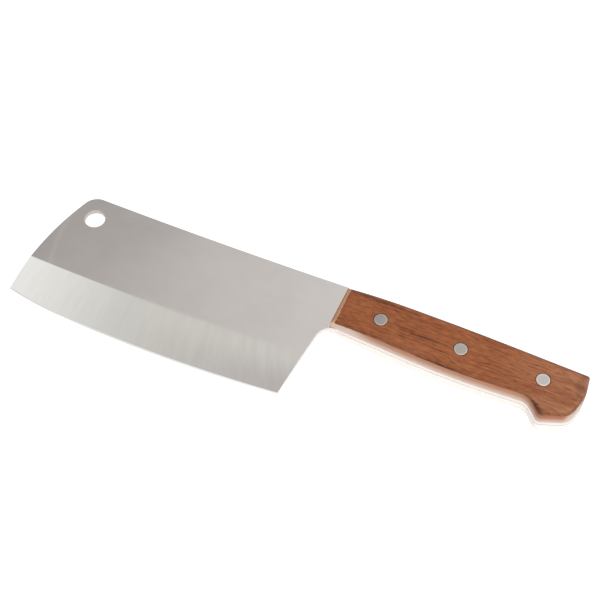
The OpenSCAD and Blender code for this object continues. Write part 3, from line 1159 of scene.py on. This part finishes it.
@dataclass
class BladeSteel:
    """The blade and its full tang, cut from one blank and then ground."""

    handle: Handle
    grind: Grind = field(default_factory=Grind)
    reach: float = 162.8
    spine_low: float = 14.1
    spine_low_at: float = 114.0
    spine_r: float = 3500.0
    front_r: float = 155.0
    front_depth: float = 44.0
    toe_corner_r: float = 8.5
    toe_corner_at: Point = (-145.597, 5.74228)
    shoulder_r: float = 0.5
    heel_gap: float = 8.3
    heel_lean: float = 6.0
    choil_r: float = 8.5
    hole_at: Point = (-143.5, 0.824324)
    hole_r: float = 5.5
    hole_points: int = 96
    sharp_angle: float = 32.0

    def spine_y(self, x: float) -> float:
        """Return the height of the spine at x."""
        return self.spine_low + self.spine_r - math.sqrt(self.spine_r ** 2 - (x + self.spine_low_at) ** 2)

    def outline(self) -> np.ndarray:
        """Draw the outline of the whole steel.

        Returns:
            The outline's points, counter-clockwise.
        """
        lean = math.tan(math.radians(self.heel_lean))
        front = (self.front_r - self.reach, -self.front_depth)
        corner = self.toe_corner_at
        low = math.atan2(corner[1] - front[1], corner[0] - front[0])
        top = math.atan2(self.spine_low + self.spine_r - corner[1], -self.spine_low_at - corner[0])
        toe_x = -self.reach
        # The toe is where the front's arc meets the edge. Each round brings it closer.
        for _ in range(30):
            rise = float(self.grind.edge_y(toe_x)) + self.front_depth
            toe_x = front[0] - math.sqrt(self.front_r ** 2 - rise ** 2)
        start = math.atan2(float(self.grind.edge_y(toe_x)) - front[1], toe_x - front[0]) + 2 * math.pi
        heel = (-self.heel_gap, float(self.grind.edge_y(-self.heel_gap)))
        under = self.handle.under_front
        slope = (under - self.handle.under_middle) / self.handle.rivets[1]
        choil_x = (heel[0] + (-under - heel[1]) * lean) / (1 - slope * lean)
        back = self.handle.path()
        choil = rounded_corner(back[-2], (choil_x, -under + slope * choil_x), heel, self.choil_r)
        edge = [(x, float(self.grind.edge_y(x))) for x in np.linspace(heel[0], toe_x, 130)[1:-1]]
        toe = arc(front, self.front_r, start, low, 44) + arc(corner, self.toe_corner_r, low, top, 26)[1:]
        spine = [(x, self.spine_y(x)) for x in np.linspace(corner[0], 0, 40)[1:-1]]
        shoulder = rounded_corner(spine[-1], (0.0, self.spine_y(0.0)), back[0], self.shoulder_r, step=12.0)
        path = [*back, *choil, heel, *edge, *toe, *spine, *shoulder]
        return counter_clockwise(spaced(path, longest=3.0))

    def build(self, steel: bpy.types.Material) -> bpy.types.Object:
        """Cut the blank and grind it.

        Args:
            steel: The blade's material.

        Returns:
            The finished piece.
        """
        outline = self.outline()
        hole = circle(self.hole_at, self.hole_r, self.hole_points)
        tang_holes = [circle((x, 0.0), self.handle.tube_hole_r, count=32) for x in self.handle.rivets]
        r = self.grind.edge_rounding
        insets = [r * (1 - math.cos(math.radians(a))) for a in range(18, 91, 18)] + [r + 0.16]
        rings = [drawn_in(outline, d, nearest=0.02) for d in insets]
        rings += [circle(self.hole_at, self.hole_r + d, self.hole_points) for d in insets]
        x = np.linspace(-self.reach - 1, 1.0, 150)
        offsets = (-2.4, -1.5, -0.9, -0.5, -0.22, 0.0, 0.22, 0.5, 0.9, 1.5, 2.4)
        lines = [np.stack([x, self.grind.grind_y(x) + d], axis=1) for d in offsets]
        x = x[x < -self.heel_gap + 1]
        bevel_y = self.grind.edge_y(x) + self.grind.bevel_width
        lines += [np.stack([x, bevel_y + d], axis=1) for d in (0.0, 0.2)]
        sheet = Sheet.cut(outline, [hole, *tang_holes], rings, lines, spacing=2.6)
        count = len(sheet.points)
        plan = np.concatenate([sheet.points, sheet.points])
        face = np.repeat((1.0, -1.0), count)
        walls = [(a, a + count, b + count, b) for a, b in sheet.rim()]
        points = np.column_stack([plan, face * self.grind.steel_thickness / 2])
        blank = plain_piece("blade_and_tang", DATUM.place(points),
                            [*sheet.triangles, *(sheet.triangles[:, ::-1] + count), *walls])
        write_attribute(blank.data, "face", face)
        write_attribute(blank.data, "rim", distance_to(plan, [outline, hole]))
        dressed_by_tree(blank, self.grind.tree(), steel=steel, **vars(self.grind))
        blank.data.set_sharp_from_angle(angle=math.radians(self.sharp_angle))
        self._crisp_second_bevel(blank.data)
        return blank

    def _crisp_second_bevel(self, mesh: bpy.types.Mesh) -> None:
        """Mark the line where the grind meets the narrow second bevel as sharp.

        Args:
            mesh: The ground steel's mesh.
        """
        depth = np.empty(len(mesh.vertices), dtype=np.float32)
        mesh.attributes["edge_depth"].data.foreach_get("value", depth)
        ends = np.empty(len(mesh.edges) * 2, dtype=np.int32)
        mesh.edges.foreach_get("vertices", ends)
        sharp = mesh.attributes.get("sharp_edge") or mesh.attributes.new("sharp_edge", "BOOLEAN", "EDGE")
        marks = np.zeros(len(mesh.edges), dtype=bool)
        sharp.data.foreach_get("value", marks)
        marks |= (np.abs(depth[ends.reshape(-1, 2)] - self.grind.bevel_width) < 0.02).all(axis=1)
        sharp.data.foreach_set("value", marks)


@dataclass
class Scale:
    """One hardwood scale: thinned at the front, rounded along its outer edge and bored for rivets."""

    side: Side
    handle: Handle
    tang_half: float = 1.3
    edge_round: float = 2.8
    head_hole_r: float = 3.55
    seat_gap: float = 0.02
    hand_waves: float = 0.09
    broad_wave: Point = (26.0, 12.0)
    fine_wave: Point = (9.0, 4.0)
    wave_seed: float = 40.0
    around_rivets: float = 0.03
    hole_break: float = 0.09
    sharp_angle: float = 40.0

    def build(self, wood: bpy.types.Material) -> bpy.types.Object:
        """Shape the scale.

        Args:
            wood: The scales' material.

        Returns:
            The finished piece.
        """
        outline = counter_clockwise(spaced(self.handle.path(), longest=1.8))
        r = self.edge_round
        rings = [drawn_in(outline, r * (1 - math.cos(math.radians(a)))) for a in range(9, 91, 9)]
        rings.append(drawn_in(outline, r + 0.2, nearest=0.1))
        radii = (self.head_hole_r, self.handle.tube_hole_r, *(self.head_hole_r + d for d in (0.08, 0.2, 0.6)))
        heads, tubes, *around = ([circle((x, 0.0), radius, count=64) for x in self.handle.rivets]
                                 for radius in radii)
        for one_rivet in zip(*around):
            rings += one_rivet
        outer = Sheet.cut(outline, heads, rings, [], spacing=1.7)
        inner = Sheet.cut(outline, tubes, [], [], spacing=6.0)
        rim = distance_to(outer.points, [outline])
        bore = distance_to(outer.points, heads)
        drop = r - np.sqrt(np.maximum(0.0, r ** 2 - np.maximum(0.0, r - rim) ** 2))
        height = self.handle.face_height(outer.points[:, 0]) - drop - self._waves(outer.points, rim)
        sunk = self.around_rivets * np.exp(-bore / 1.6)
        height -= sunk + self.hole_break * np.clip(1 - bore / 0.1, 0.0, 1.0)

        # Each row is a point's place, its distance from the outline and its distance from a rivet's hole.
        rows = [np.column_stack([outer.points, height, rim, bore]),
                np.column_stack([inner.points, np.tile((self.tang_half, r), (len(inner.points), 1)),
                                 distance_to(inner.points, tubes)])]
        start = len(outer.points)
        faces: list[Sequence[int]] = [*outer.triangles, *(inner.triangles[:, ::-1] + start)]
        above = {spot_key(p): k for k, p in enumerate(outer.points)}
        below = {spot_key(p): start + k for k, p in enumerate(inner.points)}
        for a, b in outer.rim():
            low_a, low_b = (below.get(spot_key(outer.points[k])) for k in (a, b))
            if low_a is not None and low_b is not None:
                faces.append((a, low_a, low_b, b))
        start += len(inner.points)
        for head, tube, x in zip(heads, tubes, self.handle.rivets):
            count = len(head)
            seat = float(self.handle.face_height(x)) - self.handle.head_t - self.seat_gap
            rest = np.tile((seat, r, 0.0), (2 * count, 1))
            rows.append(np.column_stack([np.concatenate([head, tube]), rest]))
            loops = ([above[spot_key(p)] for p in head], range(start, start + count),
                     range(start + count, start + 2 * count), [below[spot_key(p)] for p in tube])
            faces += [(high[k - 1], low[k - 1], low[k - 2], high[k - 2])
                      for high, low in pairwise(loops) for k in range(count)]
            start += 2 * count
        solid = np.concatenate(rows)
        solid[:, 2] *= self.side.value
        if self.side is Side.RIGHT:
            faces = [tuple(f)[::-1] for f in faces]
        piece = plain_piece(f"{self.side.name.lower()}_hardwood_scale", DATUM.place(solid[:, :3]), faces)
        write_attribute(piece.data, "rim", solid[:, 3])
        write_attribute(piece.data, "bore", solid[:, 4])
        piece.data.materials.append(wood)
        piece.data.set_sharp_from_angle(angle=math.radians(self.sharp_angle))
        return piece

    def _waves(self, plan: np.ndarray, rim: np.ndarray) -> np.ndarray:
        """Work out how far hand sanding has lowered the face.

        Args:
            plan: The face's points.
            rim: Their distance from the outline.

        Returns:
            The drop at each point.
        """
        seed = self.wave_seed * self.side.value
        broad, fine = (np.array([noise.noise(Vector((*spot, z))) for spot in plan / size])
                       for size, z in ((self.broad_wave, seed), (self.fine_wave, seed + 7.0)))
        near_edge = 0.6 + 0.8 * np.exp(-rim / 2.0)
        return self.hand_waves * near_edge * (0.5 + 0.4 * broad + 0.1 * fine)


class RivetHalf(Enum):
    """The two halves of a cutler's rivet."""

    STUD = "stud"
    SOCKET = "socket"


@dataclass
class RivetRow:
    """One half of each cutler's rivet, turned from one profile and set in a row."""

    half: RivetHalf
    side: Side
    handle: Handle
    head_r: float = 3.5
    tube_r: float = 2.4
    shank_r: float = 1.6
    bore_r: float = 1.62
    foot: float = -5.1
    head_above: float = 3.0
    segments: int = 72
    sharp_angle: float = 40.0

    def profile(self) -> tuple[np.ndarray, np.ndarray]:
        """Draw the profile that is turned.

        Returns:
            Its points from the middle of the head outwards, and 1 where a point is on the head's face.
        """
        r, top, foot = self.head_r, self.handle.face_z, self.foot
        seat = top - self.handle.head_t
        face = [(0.0, top), (1.1, top - 0.002), (2.0, top - 0.006), (2.7, top - 0.014), (3.1, top - 0.024),
                (r - 0.26, top - 0.04), (r - 0.15, top - 0.07), (r - 0.07, top - 0.12), (r, top - 0.22)]
        rest = [(r, seat + 0.1), (r - 0.1, seat)]
        shank, tube, bore = self.shank_r, self.tube_r, self.bore_r
        if self.half is RivetHalf.STUD:
            rest += [(shank, seat), (shank, foot + 0.2), (shank - 0.2, foot), (0.0, foot)]
        else:
            rest += [(tube, seat), (tube, foot + 0.1), (tube - 0.1, foot),
                     (bore + 0.1, foot), (bore, foot + 0.1), (bore, seat), (0.0, seat)]
        path = np.array([(x, 0.0, z) for x, z in face + rest])
        return path, np.repeat((1.0, 0.0), (len(face), len(rest)))

    def tree(self) -> bpy.types.NodeTree:
        """Build the tree that turns a profile round, sets a row of the result and grinds it flush.

        Returns:
            The geometry node tree.
        """
        graph = Group(GEOMETRY_TREE, f"rivet_row_{self.half.value}", "Geometry", geometry=GEOMETRY,
                      segments=72, profile_points=10, rivet_count=3, first_rivet=WAY, rivet_pitch=WAY,
                      side=1.0, front_thinning=0.0024, thinned_length=0.035, handle_front=0.0,
                      turn_seed=3, metal=MATERIAL)
        size = graph.given
        around = size.segments + 1.0
        grid = graph.add("GeometryNodeMeshGrid", {"Vertices X": size.profile_points, "Vertices Y": around})
        index = graph.add("GeometryNodeInputIndex")
        step = graph.math("FLOOR", (index + 0.5) / around)
        angle = (index - step * around) * (2 * math.pi / size.segments)
        position = graph.add("GeometryNodeInputPosition")
        on_profile, spot = (
            graph.add("GeometryNodeSampleIndex", {"Geometry": size.geometry, "Index": step, "Value": value},
                      data_type=kind, domain="POINT")
            for value, kind in ((graph.stored("on_face"), "FLOAT"), (position, "FLOAT_VECTOR")))
        radius, _, height = graph.split(spot)
        cosine, sine = (graph.math(ratio, angle) for ratio in ("COSINE", "SINE"))
        spot = graph.vector(radius * cosine, radius * sine, height)
        # Both readings are stored before the grid moves, because each follows the grid's own index.
        turned = graph.store(grid, "on_face", on_profile)
        turned = graph.moved(graph.store(turned, "turned", spot, "FLOAT_VECTOR"), spot)
        closed = graph.add("GeometryNodeMergeByDistance", {"Geometry": turned, "Distance": 1e-6})
        smooth = graph.add("GeometryNodeSetShadeSmooth", {"Geometry": closed})

        line = {"Count": size.rivet_count, "Start Location": size.first_rivet, "Offset": size.rivet_pitch}
        row = graph.add("GeometryNodeMeshLine", line, mode="OFFSET")
        row = graph.store(row, "rivet_at", graph.split(position)[0])
        limits = {0: (0.0, 0.0, 0.0), 1: (0.0, 0.0, 2 * math.pi), "Seed": size.turn_seed}
        turn = graph.add("FunctionNodeRandomValue", limits, data_type="FLOAT_VECTOR")
        copies = {"Points": row, "Instance": smooth, "Rotation": turn}
        placed = graph.add("GeometryNodeInstanceOnPoints", copies)
        placed = graph.add("GeometryNodeRealizeInstances", {"Geometry": placed})

        x, y, z = graph.split(position)
        followed = graph.mix(graph.stored("on_face"), graph.stored("rivet_at"), x)
        thinned = (1.0 - (followed - size.handle_front) / size.thinned_length).at_least(0.0)
        in_head = graph.math("GREATER_THAN", z, self.head_above * MM)
        z = z - thinned ** 2 * size.front_thinning * in_head
        ground = graph.moved(placed, graph.vector(x, y, z * size.side + DATUM.steel_z * MM))
        mirrored = graph.math("LESS_THAN", size.side, 0.0)
        outward = graph.add("GeometryNodeFlipFaces", {"Mesh": ground, "Selection": mirrored})
        return graph.dressed(outward, size.metal)

    def build(self, metal: bpy.types.Material) -> bpy.types.Object:
        """Turn the row of rivet halves.

        Args:
            metal: The rivets' material.

        Returns:
            The finished piece.
        """
        path, on_face = self.profile()
        rivets = self.handle.rivets
        piece = plain_piece(f"rivet_{self.half.value}s", path * MM, [], pairwise(range(len(path))))
        write_attribute(piece.data, "on_face", on_face)
        first_x, first_y, _ = DATUM.place(np.array((rivets[0], 0.0, 0.0)))
        dressed_by_tree(
            piece, self.tree(), segments=self.segments, profile_points=len(path), rivet_count=len(rivets),
            first_rivet=(first_x, first_y, 0.0), rivet_pitch=((rivets[1] - rivets[0]) * MM, 0.0, 0.0),
            side=self.side.value, front_thinning=self.handle.front_thin * MM,
            thinned_length=self.handle.thin_len * MM, handle_front=DATUM.front_x * MM,
            turn_seed=3 if self.half is RivetHalf.STUD else 8, metal=metal)
        if enclosed_volume(piece.data) < 0:
            piece.data.flip_normals()
        piece.data.set_sharp_from_angle(angle=math.radians(self.sharp_angle))
        return piece


@dataclass(frozen=True)
class Studio:
    """The pale table, the soft light and the camera."""

    camera_at: Place = (127.3548, -330.2365, 541.3903)
    look: Place = (-0.2277417, 0.5059506, -0.8319541)
    right: Place = (0.9118784, 0.4104605, 0.0)
    focal_px: float = 1252.0
    image_px: int = 600
    table_size: float = 8.0

    def camera(self) -> None:
        """Place the camera where the photograph was taken from."""
        data = bpy.data.cameras.new("product_camera")
        data.sensor_fit = "HORIZONTAL"
        data.sensor_width = 36.0
        data.lens = self.focal_px / self.image_px * data.sensor_width
        data.clip_start = 0.02
        look, right = Vector(self.look).normalized(), Vector(self.right).normalized()
        turn = Matrix((right, right.cross(look), -look)).transposed().to_4x4()
        camera = new_object("product_camera", data)
        camera.matrix_world = Matrix.Translation(DATUM.place(np.array(self.camera_at)).tolist()) @ turn
        bpy.context.scene.camera = camera

    def table(self) -> None:
        """Lay the pale table under the cleaver."""
        half = self.table_size / 2
        corners = np.array([(-half, -half, 0.0), (half, -half, 0.0), (half, half, 0.0), (-half, half, 0.0)])
        table = plain_piece("pale_table", corners, [(0, 1, 2, 3)])
        table.data.materials.append(TableFinish().material())

    def panel(self, name: str, at: Place, size: tuple[float, float], power: float) -> None:
        """Hang a soft light panel that faces the cleaver.

        Args:
            name: The light's name.
            at: Where it hangs, in metres.
            size: Its width and height.
            power: Its power in watts.
        """
        data = bpy.data.lights.new(name, "AREA")
        data.shape = "RECTANGLE"
        data.size, data.size_y = size
        data.energy = power
        light = new_object(name, data)
        light.visible_glossy = False
        turn = Vector(at).to_track_quat("Z", "Y").to_matrix().to_4x4()
        light.matrix_world = Matrix.Translation(at) @ turn

    def room(self) -> None:
        """Light the scene from a white room that is dimmer behind the cleaver than before and above it."""
        world = bpy.data.worlds.new("white_room")
        world.use_nodes = True
        world.node_tree.nodes.clear()
        bpy.context.scene.world = world
        graph = Graph(world.node_tree)
        x, y, z = graph.split(graph.add("ShaderNodeTexCoord", output="Generated"))
        sideways = x.ramp(-0.50, -0.12, 0.48, 1.02)
        front = y.ramp(0.2, -0.8, 0.0, 0.6) * z.ramp(0.3, 0.6)
        window = graph.length(x + 0.55, y - 0.20).ramp(0.05, 0.38, 0.45, 0.0)
        strength = sideways + window + front
        background = graph.add("ShaderNodeBackground", {"Color": WHITE, "Strength": strength})
        graph.node("ShaderNodeOutputWorld", {"Surface": background})

    def build(self) -> None:
        """Set up the whole studio."""
        self.camera()
        self.table()
        self.room()
        self.panel("front_panel", (0.35, -1.3, 0.45), (1.6, 0.7), 14.0)
        self.panel("side_panel", (1.3, -0.2, 0.8), (0.8, 0.8), 3.0)
        bpy.context.scene.view_settings.view_transform = "Standard"


@dataclass
class Cleaver:
    """The whole cleaver, built in the order that it is put together."""

    handle: Handle = field(default_factory=Handle)
    effects: Effects = field(default_factory=Effects)

    def declare(self, piece: bpy.types.Object, slot: Slot, *nodes: str) -> None:
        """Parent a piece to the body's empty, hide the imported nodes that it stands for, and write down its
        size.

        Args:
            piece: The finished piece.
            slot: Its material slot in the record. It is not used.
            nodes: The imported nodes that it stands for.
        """
        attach(piece, BODY)
        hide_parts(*nodes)
        log.info("%s: %d faces, %.0f mm3", piece.name, len(piece.data.polygons),
                 enclosed_volume(piece.data) / MM ** 3)

    def build(self) -> None:
        """Build and declare every piece."""
        steel = SteelFinish(BladeSteel.hole_at, BladeSteel.hole_r).material(self.effects)
        wood = WoodFinish().material(self.effects)
        metal = RivetFinish(RivetRow.head_r).material(self.effects)
        self.declare(BladeSteel(self.handle).build(steel), Slot.STEEL, "blade")
        for side in Side:
            self.declare(Scale(side, self.handle).build(wood), Slot.WOOD, f"{side.name.lower()}_scale")
        for half, side in ((RivetHalf.STUD, Side.LEFT), (RivetHalf.SOCKET, Side.RIGHT)):
            self.declare(RivetRow(half, side, self.handle).build(metal), Slot.RIVET,
                         *(f"{place}_rivet_{half.value}" for place in ("front", "middle", "rear")))


def main() -> None:
    """Build the cleaver and its studio, and write down the size of each piece of the cleaver."""
    logging.basicConfig(level=logging.INFO, format="%(name)s: %(message)s")
    Cleaver().build()
    Studio().build()
    bpy.context.view_layer.update()


if __name__ == "__main__":
    main()
